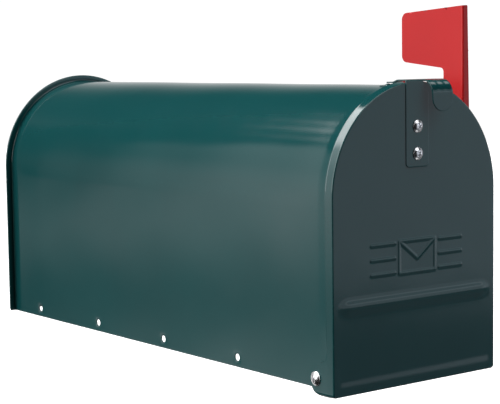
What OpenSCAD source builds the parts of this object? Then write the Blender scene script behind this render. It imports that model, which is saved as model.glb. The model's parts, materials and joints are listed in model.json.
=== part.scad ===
// Rural mailbox for a post or bracket board: arched sheet-steel body with a drop-down door,
// a snap latch with a finger pull, and a signal flag on the right side.
// Frame: X to the right of someone facing the door, Y from the door to the back, Z up.
// Origin: centre of the mounting-hole pattern, on the floor's underside, where the board bears.

/* [Body] */
// Outside width of the body
body_w = 168; // [150:1:190]
// Height from the bottom of the skirts to the crown of the roof
body_h = 229; // [205:1:260]
// How far the side skirts reach below the floor's underside
skirt_drop = 20; // [17:1:24]
// Thickness of the body, floor, rear and door sheet
sheet = 0.8; // [0.7:0.1:1]

/* [Mounting holes] */
// Distance between neighbouring mounting holes along a skirt
hole_pitch = 107; // [98:1:112]
// Number of mounting holes in each skirt
hole_count = 4; // [4:1:4]
// Radius of a mounting hole
hole_r = 3.2; // [2.5:0.1:3.5]
// Depth of the hole centres below the floor's underside
hole_drop = 12; // [11:0.5:13]
// From the door's face to the first mounting hole
front_margin = 124; // [118:1:135]
// From the last mounting hole to the rear face
rear_margin = 52; // [45:1:60]

/* [Door] */
// Gap between the body's sides and the door's flange
door_gap = 2.7; // [2.5:0.1:3.2]
// Depth of the flange around the door
door_flange = 8; // [7:0.5:9]
// How far the door hangs below the skirts
door_drop = 5.5; // [4:0.5:6]
// From the door's face back to the hinge axis
hinge_back = 20; // [19:0.5:21]
// Height of the raised bead across the door
bead_h = 3; // [2:0.5:4]

/* [Latch] */
// Width of the strap screwed to the door
strap_w = 24; // [20:1:26]
// Length of the strap down the door's face
strap_len = 67; // [62:1:75]
// Width of the finger pull
pull_w = 21.8; // [18:0.2:24]
// How far the finger pull stands out from the door's face
pull_out = 11; // [10:0.5:13]
// Height of the finger pull, from its top to its rounded tip
pull_h = 25; // [22:1:28]

/* [Flag] */
// From the door's face back to the flag's pivot
flag_back = 48.6; // [46:0.2:56]
// Height of the flag's pivot above the floor's underside
flag_pivot_z = 110; // [90:1:112]
// Length of the flag from its pivot to its top edge
flag_len = 162.7; // [130:0.1:180]
// Width of the flag's arm
arm_w = 22.7; // [18:0.1:24]
// Full width of the flag's panel, arm included
panel_w = 73; // [55:1:85]
// Gap between the body's side and the flag
flag_standoff = 5; // [4:0.5:8]

/* [Hidden] */
$fn = 64;

paint = "#1f4648";
flag_red = "#d23034";
zinc = "#d9dadb";
nylon = "#2b2f31";
eps = 0.01;
far = 400;

// Stations along the body
pattern_len = (hole_count - 1) * hole_pitch;
front_y = -pattern_len / 2 - front_margin;
back_y = pattern_len / 2 + rear_margin;
body_front = front_y + 2;

// Heights and radii of the arch
body_r = body_w / 2;
inner_r = body_r - sheet;
skirt_z = -skirt_drop;
arch_z = body_h - body_r - skirt_drop;
crown_z = arch_z + body_r;
front_corner = 8;
hem_depth = 6;
skirt_hem = 3.5;

// Rear seam: the panel's edge is folded round the body's flange
rim_r = body_r + 6.5;
rim_corner = 3;
seam_in = 4;
rear_recess = 4.4;
recess_margin = 10;

// Floor
floor_flange = 7.5;
sill_rise = 0.4;
sill_len = 26;
sill_front = front_y + 9;
seat_front = sill_front + sill_len;
floor_back = back_y - sheet - rear_recess;
rib_w = 12;
rib_h = 2.5;
rib_pitch = 34;
rib_count = 4;
tab_front = front_y + 13.9;
tab_len = 4;
tab_out = 0.6;

// Door
door_r = body_r + door_gap + sheet;
door_in = door_r - sheet;
door_bottom = skirt_z - door_drop;
door_corner = 3.5;
bead_w = 14.5;
bead_len = 164;
bead_z = skirt_z + 63.2;
field_recess = 1;
field_top = bead_z - 5;
field_bottom = skirt_z + 4;
ledge_z = skirt_z + 5.5;
emblem_z = skirt_z + 96.5;
emblem_h = 25;
emblem_w = 38;
emblem_line = 2.2;
emblem_rise = 0.6;
bar_len = 26;
bar_pitch = 11.4;

// Hinge
hinge_y = front_y + hinge_back;
hinge_z = -hole_drop;
ear_low_r = 13.2;
ear_low_y = front_y + 14;
ear_rear = ear_low_y + ear_low_r;
ear_top_r = 10.6;
ear_fillet = 10;
bush_flange_r = 6;
bush_spigot_r = 3.6;
running = 0.05;
face_gap = 0.1;

// Fasteners
screw_r = 2.5;
screw_clear = 0.1;
hinge_head_r = 5.6;
hinge_head_h = 2.8;
washer_t = 0.8;
washer_r = 6;
nut_flats = 8;
nut_h = 5;
latch_screw_r = 2;
latch_head_r = 5;
latch_head_h = 2.6;
latch_nut_flats = 7;
latch_nut_h = 3.2;
rivet_r = 1.6;

// Latch
latch_t = 1;
latch_top = door_r + arch_z + 0.05;
strap_bottom = latch_top - strap_len;
neck_cut = 7;
pull_left = 6.7;
pull_right = pull_left + pull_w;
pull_bend = pull_out - 0.3;
plate_len = 12;
catch_len = 26;
latch_screw_z = [for (z = [197.4, 176.1]) skirt_z + z];
dimple_y = front_y + 18;
dimple_x = -3;
dimple_r = 5;
dimple_drop = 1.6;
ridge_y = front_y + 12;
ridge_r = 1.6;
catch_plate_w = 26;
catch_plate_y = [front_y + 8.5, front_y + 28];
catch_rivet_y = front_y + 22;
catch_rivet_turn = 6.5;

// Flag
flag_t = 1;
flag_y = front_y + flag_back;
flag_in = body_r + flag_standoff;
flag_out = flag_in + flag_t;
flag_top = flag_pivot_z + flag_len;
flag_front = flag_y - arm_w / 2;
flag_rear = flag_front + panel_w;
panel_h_front = 52;
panel_h_rear = 41.5;
top_slope = 5;
panel_corner = 6;
inner_corner = 4;
fold_w = 8.5;
fold_w_top = 5.3;
fold_start = 18;
hub_r = 15;
flag_bush_r = 8;
spigot_r = 4;
spring_t = 0.6;
flag_washer_r = 8.5;
stop_r = 2.2;
stop_arm = 12.5;
stop_angle = 200;
stop_slack = 1.5;
stop_half = asin(stop_r / stop_arm) + stop_slack;

// ---- helpers -------------------------------------------------------------------------------

// Extrudes an X-Z outline from y0 to y1
module along_y(y0, y1) {
    translate([0, y1, 0]) rotate([90, 0, 0]) linear_extrude(y1 - y0) children();
}

// Extrudes a Y-Z outline from x0 to x1
module along_x(x0, x1) {
    translate([x0, 0, 0]) rotate([90, 0, 90]) linear_extrude(x1 - x0) children();
}

// Places children on the left and, mirrored, on the right side
module both_sides() {
    children();
    mirror([1, 0, 0]) children();
}

// Turns a part built along +Z so that it points along +X, at height z and station y
module facing_x(x, y, z) {
    translate([x, y, z]) rotate([0, 90, 0]) children();
}

// Turns a part built along +Z so that it points out of the door's face
module facing_front(x, y, z) {
    translate([x, y, z]) rotate([90, 0, 0]) children();
}

// Arch outline: half circle over a straight-sided lower part
module arch(r, bottom) {
    translate([0, arch_z]) circle(r, $fn = 128);
    translate([-r, bottom]) square([2 * r, arch_z - bottom]);
}

// Arch outline whose bottom corners are rounded
module arch_rounded(r, bottom, corner) {
    translate([0, arch_z]) circle(r, $fn = 128);
    translate([-r, bottom + corner]) square([2 * r, arch_z - bottom - corner]);
    translate([-r + corner, bottom]) square([2 * (r - corner), 2 * corner]);
    for (side = [-1, 1]) translate([side * (r - corner), bottom + corner]) circle(corner);
}

// Sheet that follows the arch, from radius r0 to r1
module arch_band(r0, r1, bottom) {
    difference() {
        arch(r1, bottom);
        arch(r0, bottom - 1);
    }
}

// Rounded rectangle with its lower left corner at the origin
module rounded(w, h, r) {
    translate([r, 0]) square([w - 2 * r, h]);
    translate([0, r]) square([w, h - 2 * r]);
    for (x = [r, w - r], y = [r, h - r]) translate([x, y]) circle(r);
}

// Bar with round ends, a solid of revolution along X, len between the end centres
module capsule(len, r) {
    rotate([0, 90, 0]) rotate_extrude() intersection() {
        translate([0, -len / 2 - r]) square([r, len + 2 * r]);
        union() {
            translate([-r, -len / 2]) square([2 * r, len]);
            for (end = [-1, 1]) translate([0, end * len / 2]) circle(r);
        }
    }
}

// Radius of the arc that gives a pressed bead of width w and height h
function bead_radius(w, h) = (w * w / 4 + h * h) / (2 * h);

// Screw with a domed head, its bearing face at z = 0, head towards +Z, cross recess in the head
module pan_screw(head_r, head_h, shank_r, len) {
    dome_r = head_r * 1.35;
    difference() {
        rotate_extrude() {
            translate([0, -len]) square([shank_r, len + eps]);
            intersection() {
                square([head_r, head_h]);
                translate([0, head_h - dome_r]) circle(dome_r);
            }
        }
        for (turn = [0, 90]) rotate([0, 0, turn])
            translate([-head_r * 0.5, -head_r * 0.1, head_h * 0.45])
                cube([head_r, head_r * 0.2, head_h]);
    }
}

// Flat ring on the z = 0 plane
module ring(outer_r, inner_r, t) {
    difference() {
        cylinder(r = outer_r, h = t);
        translate([0, 0, -1]) cylinder(r = inner_r, h = t + 2);
    }
}

// Hexagon nut with a round insert collar, its bearing face at z = 0
module locknut(flats, h, bore_r) {
    difference() {
        union() {
            cylinder(d = flats / cos(30), h = h * 0.7, $fn = 6);
            cylinder(d = flats * 0.94, h = h);
        }
        translate([0, 0, -1]) cylinder(r = bore_r, h = h + 2);
    }
}

// ---- body ----------------------------------------------------------------------------------

module mounting_holes() {
    for (i = [0 : hole_count - 1])
        translate([-far / 2, -pattern_len / 2 + i * hole_pitch, -hole_drop])
            rotate([0, 90, 0]) cylinder(r = hole_r, h = far);
}

// Removes the sharp lower front corner of the skirts, so that the door can swing past it
module front_corner_cut() {
    along_x(-far / 2, far / 2) translate([body_front, skirt_z]) difference() {
        translate([-1, -1]) square(front_corner + 1);
        translate([front_corner, front_corner]) circle(front_corner);
    }
}

module floor_tab_slits() {
    translate([-far / 2, tab_front - 0.5, sill_rise - 0.3])
        cube([far, tab_len + 1, sheet + 0.6]);
}

module body_shell() color(paint) difference() {
    union() {
        along_y(body_front, back_y - sheet) arch_band(inner_r, body_r, skirt_z);
        // outward hem that stiffens the front edge
        along_y(body_front, body_front + hem_depth) arch_band(body_r - eps, body_r + sheet, skirt_z);
        // flange that the rear panel is seamed to
        along_y(back_y - 2 * sheet, back_y - sheet)
            arch_band(inner_r, rim_r - sheet, skirt_z + rim_corner);
        // inward hems along the bottom of the skirts
        both_sides() translate([inner_r - sheet, seat_front, skirt_z])
            cube([sheet + eps, floor_back - seat_front - 10, skirt_hem]);
    }
    front_corner_cut();
    mounting_holes();
    floor_tab_slits();
    both_sides() facing_x(body_r - 5, hinge_y, hinge_z) cylinder(r = screw_r + screw_clear, h = 10);
    facing_x(body_r - 5, flag_y, flag_pivot_z) cylinder(r = screw_r + screw_clear, h = 10);
    facing_x(body_r - 5, stop_y(), stop_z()) cylinder(r = rivet_r + screw_clear, h = 10);
    catch_rivet_places() cylinder(r = rivet_r + screw_clear, h = 20, center = true);
}

module rear_panel() color(paint) {
    field_r = body_r - recess_margin;
    field_bottom_z = recess_margin;
    difference() {
        union() {
            // outer border, field and drawn wall between them
            along_y(back_y - sheet, back_y) difference() {
                arch_rounded(rim_r, skirt_z, rim_corner);
                arch(field_r, field_bottom_z);
            }
            along_y(floor_back, floor_back + sheet) arch(field_r + sheet, field_bottom_z - sheet);
            along_y(floor_back, back_y - sheet + eps) difference() {
                arch(field_r + sheet, field_bottom_z - sheet);
                arch(field_r, field_bottom_z);
            }
            // hem folded round the body's flange
            along_y(back_y - 3 * sheet, back_y - sheet + eps) rim_band(rim_r - sheet + eps);
            along_y(back_y - 3 * sheet, back_y - 2 * sheet) rim_band(rim_r - seam_in);
        }
    }
    for (z = [arch_z - 10, arch_z - 60]) rear_bead(z);
}

// The folded edge runs round the arch and down both sides
module rim_band(r0) {
    difference() {
        arch_rounded(rim_r, skirt_z, rim_corner);
        arch(r0, skirt_z - 1);
    }
}

// Stiffening bead pressed outwards in the rear field
module rear_bead(z) {
    r = bead_radius(12, 2.5);
    translate([0, floor_back + sheet + 2.5 - r, z]) intersection() {
        capsule(100, r);
        translate([-far / 2, r - 2.5, -far / 2]) cube([far, 5, far]);
    }
}

module floor_panel() color(paint) {
    seat_len = floor_back - seat_front;
    rib_len = seat_len - 60;
    difference() {
        union() {
            translate([-inner_r, seat_front, 0]) cube([2 * inner_r, seat_len, sheet]);
            translate([-inner_r, sill_front, sill_rise])
                cube([2 * inner_r, sill_len + sheet, sheet]);
            // lip turned down at the front edge
            translate([-inner_r, sill_front, -floor_flange])
                cube([2 * inner_r, sheet, floor_flange + sill_rise + sheet / 2]);
            // flanges turned down at the sides and the back
            both_sides() translate([inner_r - sheet, seat_front, -floor_flange])
                cube([sheet, seat_len, floor_flange + eps]);
            translate([-inner_r, floor_back - sheet, -floor_flange])
                cube([2 * inner_r, sheet, floor_flange + eps]);
            // tabs locked in the slits of the body's sides
            translate([-body_r - tab_out, tab_front, sill_rise])
                cube([2 * (body_r + tab_out), tab_len, sheet]);
            for (i = [0 : rib_count - 1]) floor_rib(i, rib_len, bead_radius(rib_w, rib_h), sheet);
        }
        for (i = [0 : rib_count - 1])
            floor_rib(i, rib_len, bead_radius(rib_w, rib_h) - sheet, -eps);
        // notches that clear the hinge nuts
        both_sides() translate([inner_r - 9, hinge_y - 6, -floor_flange - 1])
            cube([10, 12, floor_flange]);
    }
}

// One rib of the floor: the part of a round-ended bar that lies above height cut_z
module floor_rib(i, len, r, cut_z) {
    x = (i - (rib_count - 1) / 2) * rib_pitch;
    outer_r = bead_radius(rib_w, rib_h);
    mid_y = (seat_front + floor_back) / 2;
    translate([x, mid_y, sheet + rib_h - outer_r]) intersection() {
        rotate([0, 0, 90]) capsule(len, r);
        translate([-far / 2, -far, cut_z - sheet - rib_h + outer_r]) cube([far, 2 * far, far]);
    }
}

// ---- roof catch ----------------------------------------------------------------------------

module catch_rivet_places() {
    for (turn = [-catch_rivet_turn, catch_rivet_turn])
        translate([0, catch_rivet_y, arch_z]) rotate([0, turn, 0]) translate([0, 0, body_r])
            children();
}

module roof_catch() color(paint) difference() {
    union() {
        intersection() {
            along_y(catch_plate_y[0], catch_plate_y[1]) arch_band(body_r, body_r + sheet, 0);
            translate([-catch_plate_w / 2, front_y, arch_z]) cube([catch_plate_w, 50, far]);
        }
        // ridge that the latch's dimple snaps over
        intersection() {
            translate([dimple_x - 7, ridge_y, crown_z]) rotate([0, 90, 0]) cylinder(r = ridge_r, h = 14);
            translate([-50, ridge_y - 5, crown_z + sheet / 2]) cube([100, 10, 10]);
        }
    }
    catch_rivet_places() cylinder(r = rivet_r + screw_clear, h = 20, center = true);
}

module roof_catch_rivets() color(paint) catch_rivet_places() {
    translate([0, 0, -sheet - 1.3]) cylinder(r = rivet_r, h = 2 * sheet + 1.5);
    translate([0, 0, -sheet - 1.3]) cylinder(r = 2.6, h = 1.2);
    translate([0, 0, sheet]) rotate_extrude() intersection() {
        square([2.7, 1.1]);
        translate([0, 1.1 - 3.9]) circle(3.9);
    }
}

// ---- hinge ---------------------------------------------------------------------------------

module at_hinge(x) {
    both_sides() facing_x(x, hinge_y, hinge_z) children();
}

module hinge_bushes() color(nylon) at_hinge(body_r) difference() {
    union() {
        cylinder(r = bush_flange_r, h = door_gap - face_gap);
        cylinder(r = bush_spigot_r, h = door_gap + sheet + face_gap);
    }
    translate([0, 0, -1]) cylinder(r = screw_r + running, h = 10);
}

module hinge_screws() color(zinc)
    at_hinge(body_r + door_gap + sheet + face_gap)
        pan_screw(hinge_head_r, hinge_head_h, screw_r, door_gap + 3 * sheet + face_gap + nut_h + 1.5);

module hinge_washers() color(zinc)
    at_hinge(inner_r - washer_t) ring(washer_r, screw_r + running, washer_t);

module hinge_nuts() color(zinc)
    at_hinge(inner_r - washer_t) mirror([0, 0, 1]) locknut(nut_flats, nut_h, screw_r + running);

// ---- door ----------------------------------------------------------------------------------

// Side view of the ear that hangs on the hinge bush
module ear_outline() {
    intersection() {
        translate([ear_low_y, hinge_z]) circle(ear_low_r);
        translate([front_y, door_bottom]) square([60, hinge_z - door_bottom]);
    }
    translate([ear_rear - ear_top_r, hinge_z]) circle(ear_top_r);
    translate([front_y, hinge_z]) square([ear_rear - ear_top_r - front_y, ear_top_r]);
    translate([front_y, door_bottom + door_corner])
        square([door_flange, hinge_z - door_bottom - door_corner]);
    translate([front_y + door_flange - 1, hinge_z - ear_low_r])
        square([ear_low_y - front_y - door_flange + 1, ear_low_r]);
    translate([front_y, hinge_z]) difference() {
        square([door_flange + ear_fillet, ear_top_r + ear_fillet]);
        translate([door_flange + ear_fillet, ear_top_r + ear_fillet]) circle(ear_fillet);
    }
}

// Envelope outline between two stacks of bars, as raised lines
module door_emblem() {
    w = emblem_w;
    h = emblem_h;
    t = emblem_line;
    translate([-w / 2, emblem_z - h / 2]) {
        difference() {
            rounded(w, h, 2);
            translate([t, t]) square([w - 2 * t, h - 2 * t]);
        }
        for (side = [0, 1]) translate([side * w, 0]) mirror([side, 0])
            polygon([[0, h - t], [t, h], [w / 2 + t / 2, h * 0.4], [w / 2, h * 0.4 - t]]);
    }
    for (side = [-1, 1], row = [-1, 0, 1])
        translate([side * (w / 2 + 4 + bar_len / 2) - bar_len / 2, emblem_z + row * bar_pitch - t / 2])
            square([bar_len, t]);
}

// Round-ended bead pressed outwards across the door, grown or shrunk to radius r
module door_bead(r) {
    outer_r = bead_radius(bead_w, bead_h);
    translate([0, front_y - bead_h + outer_r, bead_z]) capsule(bead_len - bead_w, r);
}

module door_face() {
    bead_outer = bead_radius(bead_w, bead_h);
    difference() {
        union() {
            along_y(front_y, front_y + sheet) arch_rounded(door_r, door_bottom, door_corner);
            // recessed lower field, with its steps
            along_y(front_y, front_y + sheet + field_recess)
                translate([-door_in, field_bottom - sheet])
                    square([2 * door_in, field_top - field_bottom + 2 * sheet]);
            intersection() {
                door_bead(bead_outer);
                translate([-far / 2, front_y - 10, bead_z - far / 2]) cube([far, 10 + sheet, far]);
            }
            along_y(front_y - emblem_rise, front_y + eps) door_emblem();
        }
        translate([-door_r - 1, front_y - 1, field_bottom])
            cube([2 * door_r + 2, 1 + field_recess, bead_z - bead_w / 2 - field_bottom]);
        intersection() {
            door_bead(bead_outer - sheet);
            translate([-far / 2, front_y - 10, bead_z - far / 2]) cube([far, 20, far]);
        }
    }
}

module door_panel() color(paint) difference() {
    union() {
        door_face();
        // flange all round the door
        along_y(front_y + sheet / 2, front_y + door_flange) difference() {
            arch_rounded(door_r, door_bottom, door_corner);
            arch_rounded(door_in, door_bottom + sheet, door_corner - sheet);
        }
        both_sides() along_x(door_in, door_r) ear_outline();
    }
    both_sides() facing_x(door_in - 1, hinge_y, hinge_z)
        cylinder(r = bush_spigot_r + running, h = sheet + 2);
    for (z = latch_screw_z) facing_front(0, front_y + 10, z)
        cylinder(r = latch_screw_r + screw_clear, h = 20);
}

// ---- latch ---------------------------------------------------------------------------------

// Side view of the finger pull: level at the top, rolled forwards and down
module pull_outline() {
    bend_y = front_y - 0.3;
    bend_z = latch_top + latch_t - pull_bend;
    difference() {
        translate([bend_y, bend_z]) circle(pull_bend);
        translate([bend_y, bend_z]) circle(pull_bend - latch_t);
        translate([bend_y, bend_z - 20]) square(40);
        translate([bend_y - 20, bend_z - 40]) square(40);
    }
    translate([bend_y, latch_top]) square([0.5, latch_t]);
    translate([bend_y - pull_bend, latch_top + latch_t - pull_h])
        square([latch_t, pull_h - pull_bend]);
}

module finger_pull() intersection() {
    along_x(pull_left, pull_right) pull_outline();
    along_y(front_y - 20, front_y + 5)
        translate([pull_left, latch_top + latch_t - pull_h]) {
            translate([pull_w / 2, pull_w / 2]) circle(pull_w / 2);
            translate([0, pull_w / 2]) square([pull_w, pull_h]);
        }
}

// Side view of the strap: up the door's face and back over its top edge
module strap_outline(top_len) {
    translate([front_y - latch_t, strap_bottom]) square([latch_t, strap_len]);
    intersection() {
        translate([front_y, latch_top]) circle(latch_t);
        translate([front_y - latch_t, latch_top]) square(latch_t);
    }
    translate([front_y, latch_top]) square([top_len, latch_t]);
}

module door_latch() color(paint) {
    neck_left = -strap_w / 2;
    neck_w = pull_left - 0.4 - neck_left;
    difference() {
        union() {
            // strap on the door's face, with rounded lower corners
            along_y(front_y - latch_t, front_y) {
                translate([neck_left, strap_bottom]) rounded(strap_w, strap_len - neck_cut, 3.5);
                translate([neck_left, strap_bottom + 10]) square([neck_w, strap_len - 10]);
            }
            // neck bent back over the top edge, with the catch tongue
            intersection() {
                along_x(neck_left, neck_left + neck_w) strap_outline(catch_len);
                translate([neck_left, front_y - 5, latch_top - neck_cut])
                    cube([neck_w, 50, 20]);
            }
            // plate that joins the neck to the finger pull
            translate([neck_left, front_y, latch_top])
                cube([pull_right - neck_left, plate_len, latch_t]);
            finger_pull();
            dimple(dimple_r);
        }
        dimple(dimple_r - latch_t);
        for (z = latch_screw_z) facing_front(0, front_y + 10, z)
            cylinder(r = latch_screw_r + screw_clear, h = 20);
    }
}

// Dimple under the catch tongue: a sphere cap, and with a smaller radius its hollow
module dimple(r) {
    translate([dimple_x, dimple_y, latch_top + dimple_r - dimple_drop]) intersection() {
        sphere(r);
        translate([-r, -r, -r]) cube([2 * r, 2 * r, r - dimple_r + dimple_drop + latch_t]);
    }
}

module at_latch_screws(y) {
    for (z = latch_screw_z) facing_front(0, y, z) children();
}

module latch_screws() color(zinc) at_latch_screws(front_y - latch_t)
    pan_screw(latch_head_r, latch_head_h, latch_screw_r, latch_t + 2 * sheet + latch_nut_h + 1);

// Split spring washers between the door's inner face and the nuts
module latch_lock_washers() color(zinc) at_latch_screws(front_y + sheet)
    mirror([0, 0, 1]) difference() {
        ring(3.6, latch_screw_r + running, sheet);
        translate([0, -0.3, -1]) cube([5, 0.6, 4]);
    }

module latch_nuts() color(zinc) at_latch_screws(front_y + 2 * sheet)
    mirror([0, 0, 1]) difference() {
        cylinder(d = latch_nut_flats / cos(30), h = latch_nut_h, $fn = 6);
        translate([0, 0, -1]) cylinder(r = latch_screw_r + running, h = 10);
    }

// ---- flag ----------------------------------------------------------------------------------

function stop_y() = flag_y + stop_arm * cos(stop_angle);
function stop_z() = flag_pivot_z + stop_arm * sin(stop_angle);

// Side view of the flag with its arm upright
module flag_outline() {
    arm_rear = flag_front + arm_w;
    panel_bottom = flag_top - panel_h_front;
    difference() {
        union() {
            translate([flag_front, flag_pivot_z]) square([arm_w, flag_len - top_slope]);
            polygon([[flag_front, flag_top], [flag_rear, flag_top - top_slope],
                     [flag_rear, flag_top - top_slope - panel_h_rear],
                     [arm_rear, panel_bottom], [flag_front, panel_bottom]]);
            translate([flag_y, flag_pivot_z]) circle(hub_r);
            // fillet between the arm and the panel
            translate([arm_rear, panel_bottom - inner_corner]) difference() {
                square([inner_corner, inner_corner + 0.3]);
                translate([inner_corner, 0]) circle(inner_corner);
            }
        }
        corner_trim(flag_rear, flag_top - top_slope, 1);
        corner_trim(flag_rear, flag_top - top_slope - panel_h_rear, -1);
        translate([flag_y, flag_pivot_z]) circle(spigot_r + running);
        translate([flag_y, flag_pivot_z]) stop_notch();
    }
}

// Rounds a rear corner of the flag's panel; up is 1 for the top corner and -1 for the bottom one
module corner_trim(y, z, up) {
    r = panel_corner;
    translate([y, z]) mirror([0, up > 0 ? 0 : 1]) difference() {
        translate([-r, -r]) square([r + 2, r + 4]);
        translate([-r, -r]) circle(r);
    }
}

// Open notch in the hub: a quarter turn long, plus room for the stop pin
module stop_notch() {
    from = stop_angle - stop_half;
    to = stop_angle + 90 + stop_half;
    reach = 30;
    difference() {
        polygon([[0, 0], reach * [cos(from), sin(from)],
                 1.5 * reach * [cos((from + to) / 2), sin((from + to) / 2)],
                 reach * [cos(to), sin(to)]]);
        circle(stop_arm - stop_r - 0.3);
    }
}

// Front edge of the arm folded outwards, wider at the bottom than at the top
module flag_fold() {
    low = flag_pivot_z + fold_start;
    along_y(flag_front, flag_front + flag_t)
        polygon([[flag_in, low], [flag_in + fold_w - 2, low], [flag_in + fold_w, low + 4],
                 [flag_in + fold_w_top, flag_top - 1], [flag_in, flag_top - 0.1]]);
}

module flag() color(flag_red) {
    along_x(flag_in, flag_out) flag_outline();
    flag_fold();
}

module at_flag(x) {
    facing_x(x, flag_y, flag_pivot_z) children();
}

// Shouldered bush between the body's side and the flag
module flag_bush() color(nylon) at_flag(body_r) difference() {
    union() {
        cylinder(r = flag_bush_r, h = flag_standoff - face_gap);
        cylinder(r = spigot_r, h = flag_standoff + flag_t + spring_t + face_gap);
    }
    translate([0, 0, -1]) cylinder(r = screw_r + running, h = 20);
}

module flag_spring_washer() color(zinc) at_flag(flag_out + face_gap / 2)
    ring(flag_bush_r - 0.5, spigot_r + running, spring_t);

module flag_washer() color(zinc) at_flag(flag_out + spring_t + face_gap)
    ring(flag_washer_r, screw_r + running, washer_t);

module flag_screw() color(zinc) at_flag(flag_out + spring_t + face_gap + washer_t)
    pan_screw(hinge_head_r, hinge_head_h, screw_r,
              flag_standoff + flag_t + spring_t + 3 * sheet + nut_h + 1.5);

module flag_inner_washer() color(zinc)
    at_flag(inner_r - washer_t) ring(washer_r, screw_r + running, washer_t);

module flag_nut() color(zinc)
    at_flag(inner_r - washer_t) mirror([0, 0, 1]) locknut(nut_flats, nut_h, screw_r + running);

// Shouldered pin riveted into the body's side; the hub's notch runs against it
module flag_stop_pin() color(zinc) facing_x(body_r, stop_y(), stop_z()) {
    cylinder(r = stop_r + 1, h = flag_standoff - 2 * face_gap);
    cylinder(r = stop_r, h = flag_standoff + flag_t + 0.5);
    translate([0, 0, -sheet - 1]) cylinder(r = rivet_r, h = sheet + 1.1);
    translate([0, 0, -sheet - 1]) cylinder(r = 3, h = 1);
}

body_shell();
rear_panel();
floor_panel();
roof_catch();
roof_catch_rivets();
hinge_bushes();
hinge_screws();
hinge_washers();
hinge_nuts();
flag_bush();
flag_screw();
flag_washer();
flag_spring_washer();
flag_inner_washer();
flag_nut();
flag_stop_pin();
door_panel();
door_latch();
latch_screws();
latch_lock_washers();
latch_nuts();
flag();
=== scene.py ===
"""Looks of the post-mounted mailbox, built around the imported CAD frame.

Geometry is worked out in millimetres in the row frame (X right, Y to the back, Z up) and
scaled to metres when a mesh is made. Every sheet-metal piece is one surface, the side that
shows, thickened to the real sheet.
"""

import json
import math

import bmesh
import bpy
import numpy as np
from mathutils import Matrix, Vector
from mathutils.geometry import delaunay_2d_cdt


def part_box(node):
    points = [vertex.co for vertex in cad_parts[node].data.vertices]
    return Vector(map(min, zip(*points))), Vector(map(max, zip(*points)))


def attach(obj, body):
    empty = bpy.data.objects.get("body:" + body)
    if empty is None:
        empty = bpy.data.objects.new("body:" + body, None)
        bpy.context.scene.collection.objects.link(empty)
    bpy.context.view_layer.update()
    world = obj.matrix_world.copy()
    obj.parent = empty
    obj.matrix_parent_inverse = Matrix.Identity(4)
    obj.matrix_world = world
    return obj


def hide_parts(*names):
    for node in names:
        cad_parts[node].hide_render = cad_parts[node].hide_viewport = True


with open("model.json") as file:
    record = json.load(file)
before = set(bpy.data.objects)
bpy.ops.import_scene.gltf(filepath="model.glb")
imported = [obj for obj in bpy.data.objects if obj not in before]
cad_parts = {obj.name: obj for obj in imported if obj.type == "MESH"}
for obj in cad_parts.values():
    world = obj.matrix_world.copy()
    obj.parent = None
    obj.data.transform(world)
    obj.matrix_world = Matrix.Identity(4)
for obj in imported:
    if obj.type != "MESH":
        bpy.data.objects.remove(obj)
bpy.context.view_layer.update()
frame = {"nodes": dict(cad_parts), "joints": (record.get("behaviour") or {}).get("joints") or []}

MM = 0.001
TAU = 2 * math.pi


def box_mm(node):
    lo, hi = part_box(node)
    return lo / MM, hi / MM


# ---- driving dimensions, from the frame ------------------------------------------------------

BODY_LO = box_mm("body_shell")[0]
DOOR_LO, DOOR_HI = box_mm("door_panel")
REAR_HI = box_mm("rear_panel")[1]
FLOOR_HI = box_mm("floor_panel")[1]
LATCH_LO, LATCH_HI = box_mm("door_latch")
FLAG_LO, FLAG_HI = box_mm("flag")
JOINTS = {j["name"]: j for j in frame["joints"]}
HINGE = Vector(JOINTS["door_hinge"]["pos_m"]) / MM
PIVOT = Vector(JOINTS["flag_pivot"]["pos_m"]) / MM

SHEET = 0.8
BEAD_H = 3.0
FACE_Y = DOOR_LO.y + BEAD_H
DOOR_R = DOOR_HI.x
ARCH_Z = DOOR_HI.z - DOOR_R
DOOR_BOTTOM = DOOR_LO.z
BODY_R = DOOR_R - 3.5
SKIRT_Z = BODY_LO.z
BODY_FRONT = BODY_LO.y
RIM_R = REAR_HI.x
BACK_Y = REAR_HI.y
HOLE_Z = HINGE.z
HOLE_R = 3.2
HOLE_Y = [-160.5, -53.5, 53.5, 160.5]


def smooth(t):
    t = np.clip(t, 0.0, 1.0)
    return t * t * (3 - 2 * t)


def swell(t):
    """Round bead profile: 1 at t = 0, falling smoothly to 0 at t = 1 and beyond."""
    return 0.5 + 0.5 * np.cos(math.pi * np.clip(t, 0.0, 1.0))


def waves(u, v, amount, length):
    """Slow unevenness of pressed sheet, in millimetres."""
    a = np.sin(u * TAU / length + 1.3) * np.sin(v * TAU / (length * 0.8) + 0.4)
    b = np.sin((u * 0.6 + v) * TAU / (length * 0.53) + 2.1)
    return amount * (0.7 * a + 0.3 * b)


# ---- mesh tools ------------------------------------------------------------------------------


class Skin:
    """Points and faces of one surface, in millimetres."""

    def __init__(self):
        self.points = []
        self.faces = []

    def add(self, points):
        start = len(self.points)
        self.points.extend(tuple(map(float, p)) for p in points)
        return list(range(start, len(self.points)))

    def strip(self, a, b, closed):
        """Quads between two rows of points; their normal is (b - a) x (along the rows)."""
        n = len(a)
        for i in range(n if closed else n - 1):
            j = (i + 1) % n
            self.faces.append((a[i], b[i], b[j], a[j]))

    def rows(self, rows, closed=False, skip=None):
        """Joins rows of points; skip(i, j) leaves out the quad from row i and column j to the next."""
        ids = [self.add(r) for r in rows]
        for i, (a, b) in enumerate(zip(ids, ids[1:])):
            if skip is None:
                self.strip(a, b, closed)
                continue
            for j in range(len(a) - 1):
                if not skip(i, j):
                    self.faces.append((a[j], b[j], b[j + 1], a[j + 1]))

    def flip(self):
        self.faces = [tuple(reversed(f)) for f in self.faces]


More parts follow.
